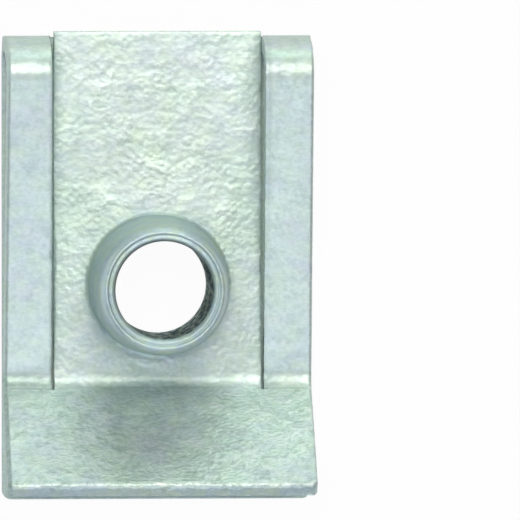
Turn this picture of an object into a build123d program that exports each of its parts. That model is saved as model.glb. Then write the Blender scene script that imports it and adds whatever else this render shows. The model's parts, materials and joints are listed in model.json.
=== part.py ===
"""U clip speed nut for an M8 screw: one strip of spring steel, folded, with a drawn barrel.

The clip lies on its back leg. The leg's outer face is z = 0, the screw's axis is the Z axis,
and the bridge between the leg and the spring rails is toward +Y. Lengths are millimetres and
angles are degrees. Fold lines are drawn in the YZ plane as (y, z) pairs.
"""

import os
from math import cos, radians, sin, tan

from build123d import *

# The strip
sheet = 1.1
width = 21.75
edge_break = 0.12
corner_radius = 0.6

# The back leg, flat against the panel's far side
leg_reach = 15.25
screw_hole_radius = 4.5

# The bridge over the panel's edge, and its two bends
bridge_height = 17.5
crown_radius = 10.7
crown_flat = 0.17
rear_bend = 0.85
front_bend = 0.95

# The two spring rails, which slope back to the crease
rail_slope = 15.9
tongue_gap = 0.4
crease_drop = 6.45
crease_bend = 1.5

# The flared lip that leads the panel in
lip_flare = 46.7
lip_length = 9.05

# The nut plate between the rails, cut free by two slits and standing in the bridge's slot
tongue_width = 14.6
tongue_height = 17.8
slit = 0.18
slit_overrun = 0.95

# The barrel drawn out of the nut plate
bore_radius = 3.43
barrel_height = 8.8
root_radius = 4.9
shoulder_radius = 4.65
root_fillet = 0.35
face_radius = 4.05
face_rise = 2.0
rim_bevel = 0.3
draw_radius = 0.6

# Heights above the floor that follow from the sizes above
tongue_back = sheet + tongue_gap
tongue_front = tongue_back + sheet
barrel_tip = tongue_front + barrel_height


def heading(angle):
    """The unit direction at an angle from +Y toward +Z."""
    return Vector(cos(radians(angle)), sin(radians(angle)))


def left_of(direction):
    """The unit direction a quarter turn to the left, which is the sheet's side of a fold line."""
    return Vector(-direction.Y, direction.X)


def meet(point, direction, other_point, other_direction):
    """Where two lines in the fold plane cross."""
    side = left_of(other_direction)
    along = (other_point - point).dot(side) / direction.dot(side)
    return point + direction * along


rail_down = heading(180 + rail_slope)
lip_out = heading(180 - lip_flare)
crease_center = Vector(-crease_drop, tongue_front + crease_bend)


def on_crease(direction):
    """Where a straight face with this direction leaves the crease's inner arc."""
    return crease_center + left_of(direction) * crease_bend


def folded_section(corners, bends):
    """The sheet's section: its face line bent at the corners, and the same line one sheet in."""
    legs = list(zip(corners, corners[1:]))
    directions = [(end - start).normalized() for start, end in legs]
    shifts = [left_of(direction) * sheet for direction in directions]
    inner = [corners[0] + shifts[0]]
    inner_bends = []
    for index, bend in enumerate(bends):
        before, after = directions[index], directions[index + 1]
        start = corners[index] + shifts[index]
        end = corners[index + 1] + shifts[index + 1]
        inner.append(meet(start, before, end, after))
        turns_left = left_of(before).dot(after) > 0
        inner_bends.append(bend - sheet if turns_left else bend + sheet)
    inner.append(corners[-1] + shifts[-1])
    outline = FilletPolyline(*corners, radius=bends) + Line(corners[-1], inner[-1])
    outline += FilletPolyline(*inner, radius=inner_bends) + Line(inner[0], corners[0])
    return Plane.YZ * make_face(outline)


def strip(corners, bends, strip_width):
    """A folded strip, centred on the YZ plane."""
    return extrude(folded_section(corners, bends), amount=strip_width / 2, both=True)


def sheared_corners(band):
    """The four short edges across the sheet at the corners of a strip's two ends."""
    return band.edges().filter_by(lambda edge: abs(edge.length - sheet) < sheet / 100)


def fold_lines():
    """The corners of the leg, bridge, rails and lip along the sheet's outer face."""
    leg_end = Vector(-leg_reach, 0)
    rear = Vector(bridge_height, 0)
    rail = on_crease(rail_down)
    crown_reach = crown_radius * tan(radians(rail_slope / 2))
    fall = heading(90 + rail_slope) * (crown_reach + crown_flat + front_bend + sheet)
    front = meet(rear + fall, heading(90), rail, rail_down)
    lip = on_crease(lip_out)
    crease = meet(rail, rail_down, lip, lip_out)
    return [leg_end, rear, front - fall, front, crease, lip + lip_out * lip_length]


def clip_band():
    """The whole strip at full width: back leg, bridge, rails, crease and lip."""
    corners = fold_lines()
    bends = [rear_bend + sheet, crown_radius, front_bend + sheet, crease_bend]
    band = strip(corners, bends, width)
    band = fillet(sheared_corners(band), corner_radius)
    return fillet(band.faces().filter_by(Axis.X).edges(), edge_break)


def window():
    """The opening between the rails, from the slits' ends back to the bridge's slot."""
    opening = tongue_width + 2 * slit
    slot_back = sheet + tongue_gap / 2
    bottom = -crease_drop - slit_overrun
    top = bridge_height + sheet
    corner = (Align.CENTER, Align.MIN, Align.MIN)
    return Pos(0, bottom, slot_back) * Box(opening, top - bottom, barrel_tip, align=corner)


def nut_plate():
    """The flat tongue, bent at the same crease as the rails and running into the lip."""
    top = Vector(tongue_height, tongue_front)
    down = heading(180)
    lip = on_crease(lip_out)
    crease = meet(top, down, lip, lip_out)
    return strip([top, crease, lip + lip_out * sheet], [crease_bend], tongue_width)


def barrel():
    """The drawn barrel as a solid of revolution, with its root fillet and crowned end."""
    root_edge = root_radius + root_fillet
    shoulder = barrel_tip - face_rise
    crown = shoulder_radius - face_radius
    outline = Polyline((0, tongue_back), (root_edge, tongue_back), (root_edge, tongue_front))
    outline += CenterArc((root_edge, tongue_front + root_fillet), root_fillet, 270, -90)
    outline += Line((root_radius, tongue_front + root_fillet), (shoulder_radius, shoulder))
    outline += EllipticalCenterArc((face_radius, shoulder), crown, face_rise, 0, arc_size=90)
    outline += Polyline((face_radius, barrel_tip), (0, barrel_tip), (0, tongue_back))
    return revolve(Plane.XZ * make_face(outline), Axis.Z)


def bore():
    """The bore through barrel and tongue: bevelled at the tip and rounded where it was drawn."""
    below = tongue_back - tongue_gap / 2
    above = barrel_tip + sheet
    mouth = bore_radius + draw_radius
    wall_start = tongue_back + draw_radius
    rim = bore_radius + rim_bevel
    outline = Polyline((0, below), (mouth, below), (mouth, tongue_back))
    outline += CenterArc((mouth, wall_start), draw_radius, 270, -90)
    outline += Polyline((bore_radius, wall_start), (bore_radius, barrel_tip - rim_bevel))
    outline += Polyline((bore_radius, barrel_tip - rim_bevel), (rim, barrel_tip), (rim, above))
    outline += Polyline((rim, above), (0, above), (0, below))
    return revolve(Plane.XZ * make_face(outline), Axis.Z)


def screw_hole():
    """The screw's clearance hole through the back leg."""
    depth = sheet + tongue_gap / 2
    return Cylinder(screw_hole_radius, 2 * depth)


def clip_body():
    """The finished nut in one piece."""
    body = clip_band() - window() + nut_plate() + barrel()
    return body - bore() - screw_hole()


os.makedirs("parts", exist_ok=True)
export_step(clip_body(), "parts/clip_body.step")
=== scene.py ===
"""Looks of the U clip speed nut: its detailed mesh, the finish, the stage, lamps and camera.

Lengths in the mesh code are millimetres and become metres when the mesh is made. The fold is
drawn in the YZ plane. A station is a pair of points there, one on each face of the sheet.
"""

import json
from math import acos, asin, atan2, ceil, cos, degrees, hypot, pi, radians, sin, sqrt, tan

import bmesh
import bpy
from mathutils import Matrix, Vector, noise


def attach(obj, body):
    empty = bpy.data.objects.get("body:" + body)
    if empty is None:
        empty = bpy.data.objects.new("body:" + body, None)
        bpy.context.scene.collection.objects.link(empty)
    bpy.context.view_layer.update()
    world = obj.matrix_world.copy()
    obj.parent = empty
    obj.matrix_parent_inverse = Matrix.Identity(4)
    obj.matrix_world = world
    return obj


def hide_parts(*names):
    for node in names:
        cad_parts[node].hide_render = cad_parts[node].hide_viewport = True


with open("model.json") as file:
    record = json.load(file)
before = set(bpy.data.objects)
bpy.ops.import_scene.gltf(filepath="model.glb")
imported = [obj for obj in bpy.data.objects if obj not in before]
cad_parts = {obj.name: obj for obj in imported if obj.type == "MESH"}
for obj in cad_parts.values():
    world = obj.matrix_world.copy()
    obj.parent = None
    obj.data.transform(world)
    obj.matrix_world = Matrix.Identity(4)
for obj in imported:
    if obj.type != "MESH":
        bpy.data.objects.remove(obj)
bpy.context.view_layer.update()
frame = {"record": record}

MM = 0.001

# What counts as nothing in a count of cells and in a length, and how near a limit a point may lie
ROUND_OFF = 0.000001
TINY = 0.0001
MARGIN = 0.01

# The strip, with the CAD part's sizes
SHEET = 1.1
HALF_WIDTH = 21.75 / 2
CORNER = 0.6
LEG_REACH = 15.25
BRIDGE = 17.5
CROWN_RADIUS = 10.7
CROWN_FLAT = 0.17
REAR_BEND = 0.85
FRONT_BEND = 0.95
RAIL_SLOPE = 15.9
CREASE_DROP = 6.45
CREASE_BEND = 1.5
LIP_FLARE = 46.7
LIP_LENGTH = 9.05

# The nut plate, the slits and the slot
TONGUE_GAP = 0.4
TONGUE_HALF = 14.6 / 2
TONGUE_TOP = 17.8
SLIT = 0.18
WINDOW_HALF = TONGUE_HALF + SLIT
SLIT_OVERRUN = 0.95
SLIT_END = -CREASE_DROP - SLIT_OVERRUN
SLOT_BACK = SHEET + TONGUE_GAP / 2
MID_SLIT = TONGUE_HALF + SLIT / 2

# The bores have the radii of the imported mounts
mounts = {mount["name"]: mount for mount in frame["record"]["mounts"]}
SCREW_HOLE = mounts["screw_hole"]["dims"]["r_mm"]
BORE = mounts["thread"]["dims"]["r_mm"]

# The barrel
BARREL_HEIGHT = 8.8
ROOT_RADIUS = 4.9
SHOULDER_RADIUS = 4.65
ROOT_FILLET = 0.35
FACE_RADIUS = 4.05
FACE_RISE = 2.0
RIM_BEVEL = 0.3
DRAW_RADIUS = 0.6
TONGUE_BACK = SHEET + TONGUE_GAP
TONGUE_FRONT = TONGUE_BACK + SHEET
TIP = TONGUE_FRONT + BARREL_HEIGHT
ROOT_EDGE = ROOT_RADIUS + ROOT_FILLET
MOUTH = BORE + DRAW_RADIUS
RIM = BORE + RIM_BEVEL

# The shallow groove that the tool has left in the barrel's tip, and the tip's small bevels
GROOVE = 3.86
GROOVE_OUT = 0.05
GROOVE_IN = 0.03
GROOVE_DEPTH = 0.19
GROOVE_RISE = 0.03
TIP_BREAK = 0.08
TIP_BREAK_DROP = 0.02
RIM_DROP = 0.11
RIM_LAND = 0.01

# The thread's turns, which run out at both ends of the bore
PITCH = 1.25
PITCH_STEPS = 8
THREAD_MAJOR = 3.98
CREST_SHARE = 0.1
FLANK_SHARE = 0.32
RUN_OUT_TIP = 0.45
RUN_OUT_BACK = 1.3

# How far the shear has rolled the front edges of the strip's sides and of the lip's end
LEFT_ROLL = 0.34
RIGHT_ROLL = 0.2
ROLL_RISE = 1.5
LIP_ROLL = 0.42
LIP_CORNER = 0.42
LEAST_REACH = 0.001

# The other sheared edges are rounded, and more so on the front faces
EDGE_BREAK = 0.12
FRONT_BREAK = 0.22
SHARP = radians(50)

# Front faces lie above this height, look up at least so much, and don't look past the lip's end
FRONT_LOW = TONGUE_BACK + 0.5
LOOKS_UP = 0.3
LOOKS_PAST_END = -0.5

# The photograph's rails lean to the left toward the bridge
LEAN = 0.25
LEAN_LENGTH = 23
LEAN_RISE = 3

# The shear has torn the walls of the slits a little
TEAR = 0.04
TEAR_GRAIN = 2.5
TEAR_REACH = 0.2
TEAR_START = SLIT_END + 0.3
TEAR_END = BRIDGE - 2

# Drawing the barrel has lifted the nut plate a little round its root, but not at the crease
LIFT = 0.16
LIFT_WIDTH = 4.5
LIFT_START = -CREASE_DROP - 0.1
LIFT_FADE = 1.4
LIFT_LOW = -0.2

# The coating's low waves, which leave the leg's outer face flat
WAVE = 0.022
WAVE_LOW = 0.2
WAVE_MEAN = 0.5
WAVE_SHARE = 0.35
LOW_WAVES = 0.55
FINE_WAVES = 1.3
FINE_SHIFT = Vector((7, 3, 1))

# How wrinkled the coating is in each place. The leg is what lies below a height and short of a y
LEG_TOP = TONGUE_BACK - 0.1
LEG_START = BRIDGE - 1
LEG_WRINKLES = 0.4
LIP_WRINKLES = 1.25
TONGUE_WRINKLES = 0.85
RAIL_WRINKLES = 0.7

# How strong the painted shade is in each place, and how far it spreads: in the tip's groove, the crease,
# the rails' bends, along the slits, round the barrel's root, on the nut plate's sides and on the rolled
# left edge
GROOVE_SHADE = 1.5
GROOVE_SPREAD = 0.1
GROOVE_LOW = 0.22
CREASE_MIDDLE = SLIT_END + 0.1
CREASE_SHADE = 0.9
CREASE_SPREAD = 1.5
CREASE_HALF = 6.5
CREASE_LEFT_SHADE = 0.4
CREASE_LEFT_START = 4
BEND_MIDDLE = -CREASE_DROP - 0.35
BEND_SHADE_LEFT = 1.3
BEND_SHADE_RIGHT = 1.4
BEND_SHADE_END = 9.6
BEND_SHADE_FADE = 2
BEND_SPREAD = 0.9
RAIL_START = WINDOW_HALF + 0.03
RAIL_SHADE = 0.8
RAIL_SPREAD = 0.35
PLATE_END = TONGUE_HALF - 0.02
SLIT_WALL_SHADE = 0.3
BARREL_LOW = TONGUE_FRONT + 0.5
BARREL_START = -CREASE_DROP + 1
ROOT_SHADE_RADIUS = ROOT_RADIUS + 0.2
ROOT_SPREAD = 0.35
PLATE_EDGE_SPREAD = 0.55
PLATE_SIDE_SHADE = 0.85
PLATE_SIDE_START = 2.6
PLATE_SIDE_WIDTH = 4.5
PLATE_SIDE_MIDDLE = 4.5
PLATE_SIDE_LENGTH = 9
ROLL_SHADE_LIP = 1.1
ROLL_SHADE_RAIL = 0.15
ROLLED_LEAST = 0.12
ROLLED_MOST = 0.97

# How far from the front edge of the lip's sheared end the coating turns thin, and its fade
THIN_START = 0.1
THIN_FADE = 0.3

# The mesh's spacing along the faces, and the steps round each bend and arc
CELL = 0.29
END_CELL = 0.2
SIDE_CELL = 0.12
LIP_CELL = 0.1
WELD = 0.002
DEPTHS = (0, 0.1, 0.2, 0.32, 0.5, 0.75, 1)
REAR_STEPS = 9
SLOT_STEPS = 3
CROWN_STEPS = 11
FRONT_STEPS = 14
RAIL_CREASE_STEPS = 7
LIP_CREASE_STEPS = 4
ROOT_STEPS = 6
BARREL_STEPS = 20
SHOULDER_STEPS = 12
DRAW_STEPS = 5
HOLE_STEPS = 4

# The square patches round the holes, with rings that crowd toward the hole
PATCH = 6.9
PATCH_CELLS = 50
PATCH_LOW = -6.2
PATCH_ROWS = 46
RING_CROWDING = 0.85
LEG_RINGS = 9
FRONT_RINGS = 7
BACK_RINGS = 10


def heading(angle):
    """The unit direction at an angle from +Y toward +Z."""
    return Vector((cos(radians(angle)), sin(radians(angle))))


def left_of(direction):
    """The sheet's side of a fold line."""
    return Vector((-direction.y, direction.x))


def held(value):
    """The value, held between 0 and 1."""
    return min(1, max(0, value))


def near(distance, width):
    """A share that falls from 1 at no distance to 0 at the width."""
    return max(0, 1 - abs(distance) / width)


def smooth(share):
    """A share that starts and ends softly."""
    return share * share * (3 - 2 * share)


def steps(start, end, count):
    """Evenly spaced values from start to end, both included."""
    return [start + (end - start) * i / count for i in range(count + 1)]


def cells(length, cell):
    """How many cells a length takes."""
    return max(1, ceil(length / cell - ROUND_OFF))


def spaced(start, end, cell=CELL):
    """Values from start to end, no further apart than a cell."""
    return steps(start, end, cells(abs(end - start), cell))


def joined(*runs):
    """Several runs of values or stations as one, without the doubled ends."""
    whole = list(runs[0])
    for run in runs[1:]:
        whole += run[1:]
    return whole


def straight(start, end, cell=CELL):
    """Stations along a straight leg. Each end is a pair of points."""
    count = cells((end[0] - start[0]).length, cell)
    return [(start[0].lerp(end[0], t), start[1].lerp(end[1], t)) for t in steps(0, 1, count)]


def bend(centre, radii, start, end, count):
    """Stations round a bend, with one start and end angle for each face of the sheet."""
    run = []
    for t in steps(0, 1, count):
        pair = []
        for radius, low, high in zip(radii, start, end):
            pair.append(centre + heading(low + (high - low) * t) * radius)
        run.append(tuple(pair))
    return run


def both_faces(point, direction):
    """The station whose front point is given, on a straight leg."""
    return point, point + left_of(direction) * SHEET


def meet(point, direction, other, other_direction):
    """Where two lines in the fold plane cross."""
    side = left_of(other_direction)
    return point + direction * ((other - point).dot(side) / direction.dot(side))


def bend_centre(corner, direction, turn, radius):
    """The centre of a bend to the left round a corner."""
    return corner - direction * radius * tan(radians(turn / 2)) + left_of(direction) * radius


# The fold's corners and bends, from the end of the leg to the end of the lip
up = heading(90)
rail_down = heading(180 + RAIL_SLOPE)
lip_out = heading(180 - LIP_FLARE)
into_lip = left_of(lip_out)
crease_centre = Vector((-CREASE_DROP, TONGUE_FRONT + CREASE_BEND))
crease_radii = (CREASE_BEND, CREASE_BEND + SHEET)
rail_low = crease_centre + left_of(rail_down) * CREASE_BEND
lip_low = crease_centre + into_lip * CREASE_BEND
crown_reach = CROWN_RADIUS * tan(radians(RAIL_SLOPE / 2))
front_radius = FRONT_BEND + SHEET
rear_radius = REAR_BEND + SHEET
crown_up = heading(90 + RAIL_SLOPE)
fall = crown_up * (crown_reach + CROWN_FLAT + front_radius)
front_corner = meet(Vector((BRIDGE, 0)) + fall, up, rail_low, rail_down)
rear_centre = Vector((BRIDGE - rear_radius, rear_radius))
crown_centre = bend_centre(front_corner - fall, up, RAIL_SLOPE, CROWN_RADIUS)
front_centre = bend_centre(front_corner, crown_up, 90, front_radius)
rear_radii = (rear_radius, REAR_BEND)
crown_radii = (CROWN_RADIUS, CROWN_RADIUS - SHEET)
front_radii = (front_radius, FRONT_BEND)

# The slot's end in the rear bend, and the slits' end in the crease, as angles of both faces
slot_angles = [degrees(asin((SLOT_BACK - rear_radius) / radius)) for radius in rear_radii]
slit_angles = [-degrees(acos((SLIT_END + CREASE_DROP) / radius)) % 360 for radius in crease_radii]


def leg_station(y):
    """The station of the back leg at this y."""
    return both_faces(Vector((y, 0)), heading(0))


def tongue_station(y):
    """The station of the nut plate at this y."""
    return Vector((y, TONGUE_FRONT)), Vector((y, TONGUE_BACK))


# The stations of the leg, the bridge and rails, and the lip
leg_end = leg_station(-LEG_REACH)
leg_low = straight(leg_end, leg_station(-LEG_REACH + CORNER), END_CELL)
leg_low = joined(leg_low, straight(leg_low[-1], leg_station(-PATCH)))
leg_middle = [leg_station(y) for y in steps(-PATCH, PATCH, PATCH_CELLS)]
leg_high = joined(
    straight(leg_station(PATCH), leg_station(rear_centre.x)),
    bend(rear_centre, rear_radii, (-90, -90), slot_angles, REAR_STEPS))
rail_run = joined(
    bend(rear_centre, rear_radii, slot_angles, (0, 0), SLOT_STEPS),
    straight(both_faces(rear_centre + heading(0) * rear_radius, up),
             both_faces(crown_centre + heading(0) * CROWN_RADIUS, up)),
    bend(crown_centre, crown_radii, (0, 0), (RAIL_SLOPE, RAIL_SLOPE), CROWN_STEPS),
    straight(both_faces(crown_centre + heading(RAIL_SLOPE) * CROWN_RADIUS, crown_up),
             both_faces(front_centre + heading(RAIL_SLOPE) * front_radius, crown_up)),
    bend(front_centre, front_radii, (RAIL_SLOPE,) * 2, (90 + RAIL_SLOPE,) * 2, FRONT_STEPS),
    straight(both_faces(front_centre + heading(90 + RAIL_SLOPE) * front_radius, rail_down),
             both_faces(rail_low, rail_down)),
    bend(crease_centre, crease_radii, (270 + RAIL_SLOPE,) * 2, slit_angles, RAIL_CREASE_STEPS))
lip_end = both_faces(lip_low + lip_out * LIP_LENGTH, lip_out)
lip_turn = both_faces(lip_low + lip_out * (LIP_LENGTH - CORNER), lip_out)
lip_run = joined(
    bend(crease_centre, crease_radii, slit_angles, (270 - LIP_FLARE,) * 2, LIP_CREASE_STEPS),
    straight(both_faces(lip_low, lip_out), lip_turn),
    straight(lip_turn, lip_end, LIP_CELL))

# The stations of the nut plate
tongue_high = [tongue_station(y) for y in spaced(TONGUE_TOP, PATCH)]
tongue_middle = [tongue_station(y) for y in steps(PATCH, PATCH_LOW, PATCH_ROWS)]
tongue_low = joined(
    [tongue_station(PATCH_LOW), tongue_station(-CREASE_DROP)],
    bend(crease_centre, crease_radii, (270, 270), slit_angles, LIP_CREASE_STEPS))

# The columns across the width
side_right = joined(
    spaced(WINDOW_HALF, HALF_WIDTH - CORNER),
    spaced(HALF_WIDTH - CORNER, HALF_WIDTH, SIDE_CELL))
side_left = [-x for x in reversed(side_right)]
tongue_right = spaced(PATCH, TONGUE_HALF)
tongue_left = [-x for x in reversed(tongue_right)]
tongue_columns = joined(tongue_left, steps(-PATCH, PATCH, PATCH_CELLS), tongue_right)
slot_columns = joined([-WINDOW_HALF, -TONGUE_HALF], tongue_columns, [TONGUE_HALF, WINDOW_HALF])
full_columns = joined(side_left, slot_columns, side_right)
patch_left = joined(side_left, [-WINDOW_HALF, -TONGUE_HALF], tongue_left)
patch_right = [-x for x in reversed(patch_left)]

mesh = bmesh.new()


def quads(rows):
    """Adds a sheet of quads through rows of points."""
    made = [[mesh.verts.new(point) for point in row] for row in rows]
    for low, high in zip(made, made[1:]):
        for a, b, c, d in zip(low, low[1:], high[1:], high):
            mesh.faces.new((a, b, c, d))


def roll_beside(x):
    """How far the front edge of this side of the strip is rolled."""
    return LEFT_ROLL if x < 0 else RIGHT_ROLL


def side_roll(x, station):
    """The side's roll at a station: none on the leg or at the lip's corners."""
    if (station[0] - lip_end[0]).dot(-lip_out) < LIP_CORNER - TINY:
        return 0.0
    return held((station[0].y - SLOT_BACK) / ROLL_RISE) * roll_beside(x)


def on_roll(x, station, inside, depth):
    """A point of the front face or the side wall, moved onto the rolled edge where it is near it."""
    radius = side_roll(x, station)
    if inside < radius and depth < radius:
        pull = radius / hypot(radius - inside, radius - depth)
        inside, depth = radius - (radius - inside) * pull, radius - (radius - depth) * pull
    y, z = station[0].lerp(station[1], depth / SHEET)
    return Vector(((HALF_WIDTH - inside) * (1 if x > 0 else -1), y, z))


def place(x, station, face):
    """A point of the sheet, drawn in where it lies in a rounded corner or on a rolled edge."""
    y, z = station[face]
    ends = ((leg_end[face], heading(0), CORNER), (lip_end[face], -lip_out, LIP_CORNER))
    for end, inward, corner in ends:
        along = (Vector((y, z)) - end).dot(inward)
        away = abs((Vector((y, z)) - end).dot(left_of(inward)))
        if away < TINY and along < corner - TINY and abs(x) > HALF_WIDTH - corner:
            across = (abs(x) - HALF_WIDTH + corner) / corner
            out = 1 - along / corner
            moved_x = HALF_WIDTH - corner + corner * across * sqrt(1 - out * out / 2)
            moved = end + inward * corner * (1 - out * sqrt(1 - across * across / 2))
            return Vector((moved_x if x > 0 else -moved_x, moved.x, moved.y))
    if face == 0 and abs(x) > HALF_WIDTH - CORNER:
        return on_roll(x, station, HALF_WIDTH - abs(x), 0.0)
    return Vector((x, y, z))


def wall_point(x, station, share):
    """A point of the wall across the sheet, at a share of the way to the back."""
    if abs(x) == HALF_WIDTH and side_roll(x, station) > 0:
        return on_roll(x, station, 0.0, share * SHEET)
    return place(x, station, 0).lerp(place(x, station, 1), share)


def both_sheets(stations, columns):
    """Adds the front and back of a stretch of the strip."""
    for face in (0, 1):
        quads([[place(x, station, face) for x in columns] for station in stations])


def wall(stations, columns):
    """Adds the wall across the sheet along stations at one column, or along columns at one."""
    line = [(x, station) for station in stations for x in columns]
    quads([[wall_point(x, station, t) for x, station in line] for t in DEPTHS])


def turned(profile, angles):
    """Adds the surface that a profile of (radius, z) points sweeps round the axis."""
    quads([[Vector((radius * cos(a), radius * sin(a), z)) for a in angles] for radius, z in profile])


def square_points(low, high, z, rows):
    """Points round a patch's square edge, counterclockwise from its lower left corner."""
    columns = steps(-PATCH, PATCH, PATCH_CELLS)
    heights = steps(low, high, rows)
    points = [(x, low) for x in columns] + [(PATCH, y) for y in heights[1:]]
    points += [(x, high) for x in columns[-2::-1]] + [(-PATCH, y) for y in heights[-2::-1]]
    return [Vector((x, y, z)) for x, y in points]


def patch(radius, low, high, z, rows, rings):
    """Adds the sheet between a round hole's rim and the patch's square edge."""
    outer = square_points(low, high, z, rows)
    angles = [atan2(point.y, point.x) for point in outer]
    inner = [Vector((radius * cos(a), radius * sin(a), z)) for a in angles]
    shares = [t ** RING_CROWDING for t in steps(0, 1, rings)]
    quads([[a.lerp(b, share) for a, b in zip(inner, outer)] for share in shares])
    return angles


def arc(radius, z, wide, high, start, end, count):
    """Profile points round an arc, whose angles go from outward toward the tip."""
    return [(radius + wide * cos(radians(a)), z + high * sin(radians(a)))
            for a in steps(start, end, count)]


def leg():
    """Adds the back leg with its screw hole."""
    both_sheets(leg_low, full_columns)
    both_sheets(leg_middle, patch_left)
    both_sheets(leg_middle, patch_right)
    both_sheets(leg_high, full_columns)
    for height in (0, SHEET):
        angles = patch(SCREW_HOLE, -PATCH, PATCH, height, PATCH_CELLS, LEG_RINGS)
    turned([(SCREW_HOLE, z) for z in steps(0, SHEET, HOLE_STEPS)], angles)


def rails_and_lip():
    """Adds the bridge with the rails, and the lip."""
    for columns in (side_left, side_right):
        both_sheets(rail_run, columns)
    both_sheets(lip_run, full_columns)


def nut_plate():
    """Adds the nut plate, but for the patches round the barrel."""
    both_sheets(tongue_high, tongue_columns)
    both_sheets(tongue_middle, tongue_left)
    both_sheets(tongue_middle, tongue_right)
    both_sheets(tongue_low, tongue_columns)


def sheared_walls():
    """Adds the walls across the sheet."""
    whole_leg = joined(leg_low, leg_middle, leg_high)
    for side in (-1, 1):
        for run in (whole_leg, rail_run, lip_run):
            wall(run, [side * HALF_WIDTH])
        wall(rail_run, [side * WINDOW_HALF])
        wall(joined(tongue_high, tongue_middle, tongue_low), [side * TONGUE_HALF])
        wall([rail_run[-1]], [side * TONGUE_HALF, side * WINDOW_HALF])
    wall([leg_high[-1]], slot_columns)
    wall([leg_end], full_columns)
    wall([lip_end], full_columns)
    wall([tongue_high[0]], tongue_columns)


def thread_radius(angle, z, low, high):
    """The bore's radius with a right-hand thread that runs out at both ends."""
    turn = (z / PITCH - angle / (2 * pi)) % 1
    off_crest = min(turn, 1 - turn)
    depth = held((off_crest - CREST_SHARE) / FLANK_SHARE)
    fade = min(1, (high - z) / RUN_OUT_TIP, (z - low) / RUN_OUT_BACK)
    return BORE + (THREAD_MAJOR - BORE) * smooth(depth) * max(0, fade)


def barrel():
    """Adds the barrel: root fillet, wall, crowned end, grooved tip, threaded bore and draw."""
    angles = patch(ROOT_EDGE, PATCH_LOW, PATCH, TONGUE_FRONT, PATCH_ROWS, FRONT_RINGS)
    patch(MOUTH, PATCH_LOW, PATCH, TONGUE_BACK, PATCH_ROWS, BACK_RINGS)
    wall_low = TONGUE_FRONT + ROOT_FILLET
    shoulder = TIP - FACE_RISE
    root = arc(ROOT_EDGE, wall_low, ROOT_FILLET, ROOT_FILLET, 270, 180, ROOT_STEPS)
    cone = [(ROOT_RADIUS + (SHOULDER_RADIUS - ROOT_RADIUS) * t, wall_low + (shoulder - wall_low) * t)
            for t in steps(0, 1, BARREL_STEPS)]
    crown = arc(FACE_RADIUS, shoulder, SHOULDER_RADIUS - FACE_RADIUS, FACE_RISE, 0, 90, SHOULDER_STEPS)
    tip = [
        (FACE_RADIUS, TIP),
        (FACE_RADIUS - TIP_BREAK, TIP - TIP_BREAK_DROP),
        (GROOVE + GROOVE_OUT, TIP - GROOVE_DEPTH + GROOVE_RISE),
        (GROOVE - GROOVE_IN, TIP - GROOVE_DEPTH),
        (RIM + RIM_LAND, TIP - RIM_DROP),
        (RIM - TIP_BREAK, TIP - RIM_DROP - TIP_BREAK_DROP),
        (BORE, TIP - RIM_BEVEL)]
    turned(joined(root, cone, crown, tip), angles)
    low, high = TONGUE_BACK + DRAW_RADIUS, TIP - RIM_BEVEL
    turned(arc(MOUTH, low, DRAW_RADIUS, DRAW_RADIUS, 180, 270, DRAW_STEPS), angles)
    rows = []
    for z in spaced(high, low, PITCH / PITCH_STEPS):
        radii = [thread_radius(angle, z, low, high) for angle in angles]
        rows.append([Vector((r * cos(a), r * sin(a), z)) for r, a in zip(radii, angles)])
    quads(rows)


leg()
rails_and_lip()
nut_plate()
sheared_walls()
barrel()
bmesh.ops.remove_doubles(mesh, verts=mesh.verts, dist=WELD)
bmesh.ops.recalc_face_normals(mesh, faces=mesh.faces)


def in_bore(vert):
    """Whether the point lies in the threaded bore or its mouths."""
    return hypot(vert.co.x, vert.co.y) < MOUTH and vert.co.z > TONGUE_BACK + MARGIN


def on_front(line):
    """Whether one of the edge's faces is a front face of the nut plate, the rails or the lip."""
    if min(v.co.z for v in line.verts) < FRONT_LOW:
        return False
    return any(f.normal.z > LOOKS_UP and f.normal.y > LOOKS_PAST_END for f in line.link_faces)


def roll_lip_end(vert):
    """Moves a point near the lip's end onto its rolled edge, which runs into the rolled sides."""
    from_end = Vector(vert.co.yz) - lip_end[0]
    across = max(0, abs(vert.co.x) - HALF_WIDTH + LIP_CORNER)
    reach = LIP_CORNER + from_end.dot(lip_out)
    depth = from_end.dot(into_lip)
    if reach < LEAST_REACH or reach > LIP_CORNER + MARGIN or not -MARGIN < depth < LIP_ROLL:
        return
    out = hypot(across, reach)
    radius = hypot(LIP_ROLL * reach, roll_beside(vert.co.x) * across) / out
    inward, downward = radius - LIP_CORNER + out, radius - depth
    if inward > 0 and downward > 0:
        pull = radius / hypot(inward, downward)
        outward = inward * (pull - 1)
        vert.co.x += outward * across / out * (1 if vert.co.x > 0 else -1)
        move = lip_out * (outward * reach / out) + into_lip * (downward * (1 - pull))
        vert.co.y += move.x
        vert.co.z += move.y


def break_edges(offset, front):
    """Rounds the sharp edges, either those of the front faces or all the others."""
    sharp = [e for e in mesh.edges
             if e.calc_face_angle(0) > SHARP and not all(in_bore(v) for v in e.verts)]
    bmesh.ops.bevel(mesh, geom=[e for e in sharp if on_front(e) == front], offset=offset, segments=2,
                    offset_type="OFFSET", profile=0.5, affect="EDGES", clamp_overlap=True)
    mesh.normal_update()


for vert in mesh.verts:
    roll_lip_end(vert)
mesh.normal_update()
break_edges(FRONT_BREAK, front=True)
break_edges(EDGE_BREAK, front=False)


def lean(point):
    """How far the rails and the bridge lean to the left here. The left outer edge keeps its place."""
    x, y, z = point
    if abs(x) <= WINDOW_HALF - MARGIN:
        return 0
    share = held((y + CREASE_DROP) / LEAN_LENGTH) * held((z - SLOT_BACK) / LEAN_RISE)
    if x < 0:
        share *= min(1, (HALF_WIDTH + x) / (HALF_WIDTH - WINDOW_HALF))
    return LEAN * share


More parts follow.
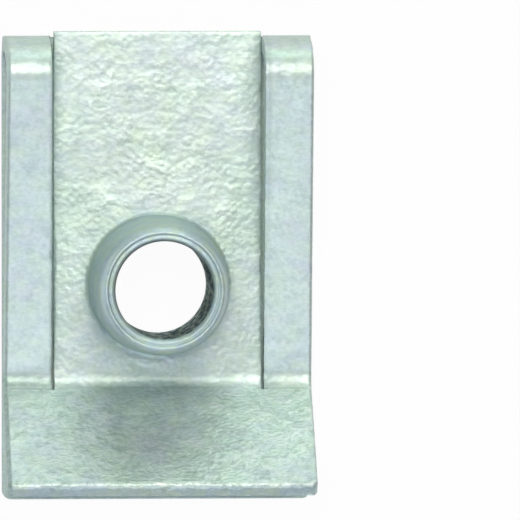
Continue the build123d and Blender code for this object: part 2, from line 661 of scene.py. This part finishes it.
def tear(point):
    """How far the shear has torn a slit's wall sideways here."""
    x, y, z = point
    beside_slit = abs(abs(x) - MID_SLIT) < TEAR_REACH
    if beside_slit and z > SLOT_BACK and TEAR_START < y < TEAR_END:
        return TEAR * noise.noise(Vector((x, TEAR_GRAIN * y, z)))
    return 0


def lift(point):
    """How far the nut plate is lifted here round the barrel's root."""
    x, y, z = point
    above = (z - TONGUE_FRONT) / ROOT_FILLET
    away = (hypot(x, y) - ROOT_RADIUS) / LIFT_WIDTH
    if abs(x) < TONGUE_HALF and LIFT_LOW < above < 1 and 0 <= away < 1:
        fade = held((y - LIFT_START) / LIFT_FADE)
        return LIFT * (1 - max(0, above)) * (1 - smooth(away)) * fade
    return 0


for vert in mesh.verts:
    vert.co.x -= lean(vert.co)
    vert.co.x += tear(vert.co)
    vert.co.z += lift(vert.co)
mesh.normal_update()


def wrinkling(point):
    """How rough each place is: the nut plate and the lip are wrinkled, and the rails are smoother."""
    x, y, z = point
    if z < LEG_TOP and y < LEG_START:
        return LEG_WRINKLES
    if y < SLIT_END:
        return LIP_WRINKLES
    return TONGUE_WRINKLES if abs(x) < MID_SLIT else RAIL_WRINKLES


def crease_shade(x, y):
    """Painted shade in the crease: across the middle and left of the lip, and in the bends of the rails."""
    to_left = CREASE_LEFT_SHADE * held(-x / CREASE_LEFT_START)
    strength = max(CREASE_SHADE * (1 - (x / CREASE_HALF) ** 2), to_left)
    in_crease = near(y - CREASE_MIDDLE, CREASE_SPREAD) * strength
    if abs(x) > TONGUE_HALF:
        on_right = max(0, BEND_SHADE_RIGHT * (BEND_SHADE_END - x) / BEND_SHADE_FADE)
        bent = near(y - BEND_MIDDLE, BEND_SPREAD)
        in_crease = max(in_crease, bent * (BEND_SHADE_LEFT if x < 0 else on_right))
    return in_crease


def painted_shade(point):
    """How much shade is painted on: in the barrel's tip groove, round its root, by the slits, on the nut
    plate's sides and in the crease.
    """
    x, y, z = point
    if z < FRONT_LOW:
        return 0.0
    if z > TIP - GROOVE_LOW:
        return max(0, GROOVE_SHADE - abs(hypot(x, y) - GROOVE) / GROOVE_SPREAD)
    in_crease = crease_shade(x, y)
    if y < -CREASE_DROP:
        return in_crease
    if abs(x) > RAIL_START:
        return max(in_crease, RAIL_SHADE - (abs(x) - WINDOW_HALF) / RAIL_SPREAD)
    if abs(x) > PLATE_END:
        return SLIT_WALL_SHADE
    if z > BARREL_LOW and y > BARREL_START:
        return 0.0
    by_root = near(hypot(x, y) - ROOT_SHADE_RADIUS, ROOT_SPREAD)
    by_slit = near(TONGUE_HALF - abs(x), PLATE_EDGE_SPREAD)
    at_side = max(0, (abs(x) - PLATE_SIDE_START) / PLATE_SIDE_WIDTH)
    at_side *= near(y - PLATE_SIDE_MIDDLE, PLATE_SIDE_LENGTH)
    return max(in_crease, by_root, by_slit, PLATE_SIDE_SHADE * at_side)


def roll_shade(vert):
    """Painted shade on the rolled left edge, darker along the lip than along the rail."""
    rolled = vert.co.x < -HALF_WIDTH + LEFT_ROLL and ROLLED_LEAST < -vert.normal.x < ROLLED_MOST
    if not rolled or vert.co.z <= TONGUE_FRONT:
        return 0
    return ROLL_SHADE_LIP if vert.co.y < SLIT_END else ROLL_SHADE_RAIL


def thin(point):
    """How thin the coating is: on the drawn barrel and on the lip's sheared end."""
    x, y, z = point
    from_end = Vector((y, z)) - lip_end[0]
    if y < SLIT_END and from_end.dot(lip_out) > -THIN_START:
        return held((from_end.dot(into_lip) - THIN_START) / THIN_FADE)
    if hypot(x, y) < ROOT_EDGE and z > TONGUE_FRONT:
        return min(1, (z - TONGUE_FRONT) / ROOT_FILLET)
    return 0.0


def wave(vert):
    """How far the coating's waves draw this point inward, so that the sheet keeps its box."""
    if vert.co.z < WAVE_LOW or in_bore(vert):
        return 0
    low = noise.noise(vert.co * LOW_WAVES)
    fine = noise.noise(vert.co * FINE_WAVES + FINE_SHIFT)
    push = WAVE * wrinkling(vert.co) * (WAVE_MEAN + WAVE_SHARE * low + WAVE_SHARE * fine)
    return min(WAVE, max(0, push))


for vert in mesh.verts:
    vert.co -= vert.normal * wave(vert)

layer_names = ("wrinkling", "thread", "painted_shade", "thin_coat")
rough_layer, thread_layer, shade_layer, thin_layer = [
    mesh.verts.layers.float.new(name) for name in layer_names]
for vert in mesh.verts:
    vert[rough_layer] = wrinkling(vert.co)
    # The painted shade of each point, on the rolled left edge and elsewhere
    vert[shade_layer] = max(painted_shade(vert.co), roll_shade(vert))
    vert[thin_layer] = thin(vert.co)
    vert[thread_layer] = 1.0 if in_bore(vert) and vert.co.z < TIP - RIM_BEVEL else 0.0
    vert.co *= MM
for face in mesh.faces:
    face.smooth = True
data = bpy.data.meshes.new("nut")
mesh.to_mesh(data)
mesh.free()
nut = bpy.data.objects.new("u_clip_nut", data)
bpy.context.scene.collection.objects.link(nut)
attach(nut, "root")
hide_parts("clip_body")


class Graph:
    """A short way to write a node tree: each call adds a node and links or sets its inputs."""

    def __init__(self, tree):
        self.tree = tree
        tree.nodes.clear()

    def fill(self, socket, value):
        if isinstance(value, bpy.types.NodeSocket):
            self.tree.links.new(value, socket)
        else:
            socket.default_value = value

    def add(self, kind, inputs=None, **settings):
        node = self.tree.nodes.new(kind)
        for name, value in settings.items():
            setattr(node, name, value)
        for key, value in (inputs or {}).items():
            self.fill(node.inputs[key], value)
        return node

    def math(self, operation, *values):
        return self.add("ShaderNodeMath", dict(enumerate(values)), operation=operation).outputs[0]

    def mix(self, share, low, high):
        inputs = {0: share, 6: low, 7: high}
        return self.add("ShaderNodeMix", data_type="RGBA", inputs=inputs).outputs[2]

    def span(self, value, between, to=(0.0, 1.0)):
        """Takes the value's way between two limits to a way between two others."""
        inputs = {0: value, 1: between[0], 2: between[1], 3: to[0], 4: to[1]}
        return self.add("ShaderNodeMapRange", inputs, clamp=True).outputs[0]

    def attribute(self, name):
        return self.add("ShaderNodeAttribute", attribute_name=name).outputs["Fac"]


# The coating's colours
MINT = (0.66, 0.80, 0.725, 1)
PALE_BLUE = (0.68, 0.78, 0.80, 1)
LEAF = (0.69, 0.82, 0.66, 1)
LILAC = (0.68, 0.72, 0.80, 1)
DARK_SPECK = (0.38, 0.49, 0.46, 1)
# Painted shade for the relief's hollows, and a painted highlight for its ridges
HOLLOW_SHADE = (0.36, 0.47, 0.43, 1)
RIDGE_HIGHLIGHT = (0.84, 0.92, 0.87, 1)
# The colour of the painted shade
SHADE_COLOUR = (0.30, 0.41, 0.37, 1)
THIN_BLUE = (0.48, 0.63, 0.70, 1)
THIN_GREEN = (0.54, 0.68, 0.60, 1)
# Painted shade for the threaded bore, dark with paler mottles
BORE_SHADE_DARK = (0.10, 0.16, 0.19, 1)
BORE_SHADE_PALE = (0.42, 0.52, 0.46, 1)
REFLECTION = (0.45, 0.5, 0.48, 1)

# The coating's other looks
STRETCH = 0.65
RELIEF_SHARE = 0.9
THIN_SHARE = 0.55
GRAIN_DEPTH = 0.00006
METALLIC = 0.5


def finish_material():
    """Zinc flake coating on steel: satin, pale grey-green, wrinkled over the shot-blasted faces."""
    material = bpy.data.materials.new("zinc_flake")
    material.use_nodes = True
    g = Graph(material.node_tree)
    place_mm = g.add("ShaderNodeVectorMath", {
        0: g.add("ShaderNodeTexCoord").outputs["Object"], 3: 1 / MM}, operation="SCALE").outputs[0]
    parts = g.add("ShaderNodeSeparateXYZ", {0: place_mm}).outputs
    wide = g.add("ShaderNodeCombineXYZ", {
        0: g.math("MULTIPLY", parts[0], STRETCH), 1: parts[1], 2: parts[2]}).outputs[0]

    def cloud(vector, scale, detail, distortion=0.0):
        return g.add("ShaderNodeTexNoise", {
            "Vector": vector, "Scale": scale, "Detail": detail, "Roughness": 0.55,
            "Distortion": distortion}).outputs[0]

    # The clouds of colour and relief, from small to large
    specks = cloud(wide, scale=5.2, detail=1.0)
    lumps = cloud(place_mm, scale=2.6, detail=0.6)
    waves = cloud(wide, scale=1.25, detail=0.5, distortion=0.3)
    patches = cloud(place_mm, scale=0.8, detail=2.0)
    stains = cloud(wide, scale=0.55, detail=2.0, distortion=0.5)
    regions = cloud(place_mm, scale=0.45, detail=1.0)
    clouds = cloud(place_mm, scale=0.3, detail=2.0)

    # The relief, stronger where the sheet is wrinkled
    rough = g.attribute("wrinkling")
    relief = g.math("ADD", g.math("MULTIPLY", waves, RELIEF_SHARE), g.math("MULTIPLY", lumps, RELIEF_SHARE))
    busy = g.math("MULTIPLY", rough, g.span(regions, (0.38, 0.62), to=(0.6, 1.0)))
    speckled = g.math("MULTIPLY", specks, g.span(rough, (0.9, 1.2), to=(0.1, 0.85)))
    height = g.math("ADD", g.math("MULTIPLY", relief, busy), speckled)
    bump = g.add("ShaderNodeBump", {"Strength": 1.0, "Distance": GRAIN_DEPTH, "Height": height})

    # The clean coating's tones, then painted shade in the relief's hollows and a painted highlight on its
    # ridges
    tint = g.mix(g.span(clouds, (0.35, 0.65)), MINT, PALE_BLUE)
    tint = g.mix(g.span(patches, (0.42, 0.68), to=(0.0, 0.6)), tint, LEAF)
    tint = g.mix(g.span(stains, (0.52, 0.7), to=(0.0, 0.5)), tint, LILAC)
    tint = g.mix(g.span(specks, (0.35, 0.65), to=(0.25, 0.0)), tint, DARK_SPECK)
    hollow_shade = g.math("MULTIPLY", g.span(relief, (0.65, 0.9), to=(0.35, 0.0)), busy)
    ridge_highlight = g.math("MULTIPLY", g.span(relief, (0.9, 1.15), to=(0.0, 0.4)), busy)
    tint = g.mix(hollow_shade, tint, HOLLOW_SHADE)
    tint = g.mix(ridge_highlight, tint, RIDGE_HIGHLIGHT)

    # The painted shade, the thin coating, and the painted shade in the threaded bore
    # Painted shade where the layer asks for it, broken up by the lumps
    shaded = g.math("MULTIPLY", g.attribute("painted_shade"), g.span(lumps, (0.35, 0.65), to=(0.3, 0.75)))
    tint = g.mix(g.math("MINIMUM", shaded, 1.0), tint, SHADE_COLOUR)
    mottled = g.mix(g.span(patches, (0.42, 0.6)), THIN_BLUE, THIN_GREEN)
    tint = g.mix(g.math("MULTIPLY", g.attribute("thin_coat"), THIN_SHARE), tint, mottled)
    # Painted shade over the threaded bore, mottled by the lumps
    bore_shade = g.mix(g.span(lumps, (0.4, 0.6)), BORE_SHADE_DARK, BORE_SHADE_PALE)
    tint = g.mix(g.attribute("thread"), tint, bore_shade)

    surface = g.add("ShaderNodeBsdfPrincipled", {
        "Base Color": tint, "Roughness": g.span(clouds, (0.3, 0.7), to=(0.42, 0.5)),
        "Normal": bump.outputs[0], "Metallic": METALLIC, "Specular Tint": REFLECTION})
    g.add("ShaderNodeOutputMaterial", {"Surface": surface.outputs[0]})
    return material


nut.data.materials.append(finish_material())

# The floor, in metres, just under the part so that no two faces share a place
FLOOR_REACH = 1.5
FLOOR_DROP = 0.00002
FLOOR_PAINT = (0.9, 0.9, 0.9, 1)
FLOOR_GLOW_SHARE = 0.96


def floor_material():
    """White for the camera and for what reflects it, and a plain white floor under the shadow."""
    material = bpy.data.materials.new("white_floor")
    material.use_nodes = True
    g = Graph(material.node_tree)
    path = g.add("ShaderNodeLightPath").outputs
    seen = g.math("MAXIMUM", path["Is Camera Ray"], path["Is Glossy Ray"])
    seen = g.math("MAXIMUM", seen, path["Is Transmission Ray"])
    paint = g.add("ShaderNodeBsdfDiffuse", {"Color": FLOOR_PAINT}).outputs[0]
    white = g.add("ShaderNodeEmission", {"Color": (1, 1, 1, 1), "Strength": 1.0}).outputs[0]
    glow = g.math("MULTIPLY", seen, FLOOR_GLOW_SHARE)
    both = g.add("ShaderNodeMixShader", {0: glow, 1: paint, 2: white})
    g.add("ShaderNodeOutputMaterial", {"Surface": both.outputs[0]})
    return material


floor_data = bpy.data.meshes.new("floor")
floor_corners = [(-1, -1), (1, -1), (1, 1), (-1, 1)]
floor_data.from_pydata([(x * FLOOR_REACH, y * FLOOR_REACH, 0) for x, y in floor_corners],
                       [], [(0, 1, 2, 3)])
floor = bpy.data.objects.new("floor", floor_data)
floor.location.z = -FLOOR_DROP
floor.data.materials.append(floor_material())
bpy.context.scene.collection.objects.link(floor)


def lamp(name, position, size, power, colour):
    """A square soft lamp that points at the nut."""
    light = bpy.data.lights.new(name, "AREA")
    light.size = size
    light.energy = power
    light.color = colour
    holder = bpy.data.objects.new(name, light)
    holder.location = position
    holder.rotation_euler = (-Vector(position)).to_track_quat("-Z", "Y").to_euler()
    holder.visible_camera = False
    bpy.context.scene.collection.objects.link(holder)


# The studio: four lamps, placed in metres, and a dim world
lamp("overhead", (0.0, 0.247, 0.761), size=0.4, power=3.35, colour=(1.0, 0.965, 0.915))
lamp("front", (0.0, -0.514, 0.613), size=0.5, power=2.0, colour=(0.845, 0.88, 1.0))
lamp("left", (-0.72, 0.05, 0.3), size=0.5, power=0.82, colour=(0.66, 0.9, 1.0))
lamp("rear", (0.108, 0.765, 0.207), size=0.5, power=1.95, colour=(0.85, 1.0, 0.94))
world = bpy.data.worlds.new("studio")
world.use_nodes = True
sky = Graph(world.node_tree)
dim = sky.add("ShaderNodeBackground", {"Color": (0.93, 0.97, 1.0, 1), "Strength": 0.06})
sky.add("ShaderNodeOutputWorld", {"Surface": dim.outputs[0]})
bpy.context.scene.world = world
bpy.context.scene.view_settings.view_transform = "Standard"

# The camera, as fitted to the photograph's left view. It aims beside the nut, in metres
CAMERA_LEFT = radians(3.29)
CAMERA_ABOVE = radians(2.97)
CAMERA_AWAY = 0.915
MIDDLE_UP = 0.002
AIM_RIGHT = 0.00725
AIM_UP = 0.00167
LENS = 899.2
to_camera = Vector((-sin(CAMERA_LEFT), sin(CAMERA_ABOVE) * cos(CAMERA_LEFT),
                    cos(CAMERA_LEFT) * cos(CAMERA_ABOVE)))
to_right = Vector((cos(CAMERA_LEFT), 0, sin(CAMERA_LEFT)))
to_top = to_camera.cross(to_right)
middle = Vector((0, 0, MIDDLE_UP))
aim = middle + to_right * AIM_RIGHT + to_top * AIM_UP
camera_data = bpy.data.cameras.new("camera")
camera_data.sensor_width = 36
camera_data.lens = LENS
camera_data.clip_start = 0.01
camera = bpy.data.objects.new("camera", camera_data)
camera.location = middle + to_camera * CAMERA_AWAY
back = (camera.location - aim).normalized()
side = to_top.cross(back).normalized()
top = back.cross(side)
camera.matrix_world = Matrix((
    (side.x, top.x, back.x, camera.location.x),
    (side.y, top.y, back.y, camera.location.y),
    (side.z, top.z, back.z, camera.location.z),
    (0, 0, 0, 1)))
bpy.context.scene.collection.objects.link(camera)
bpy.context.scene.camera = camera
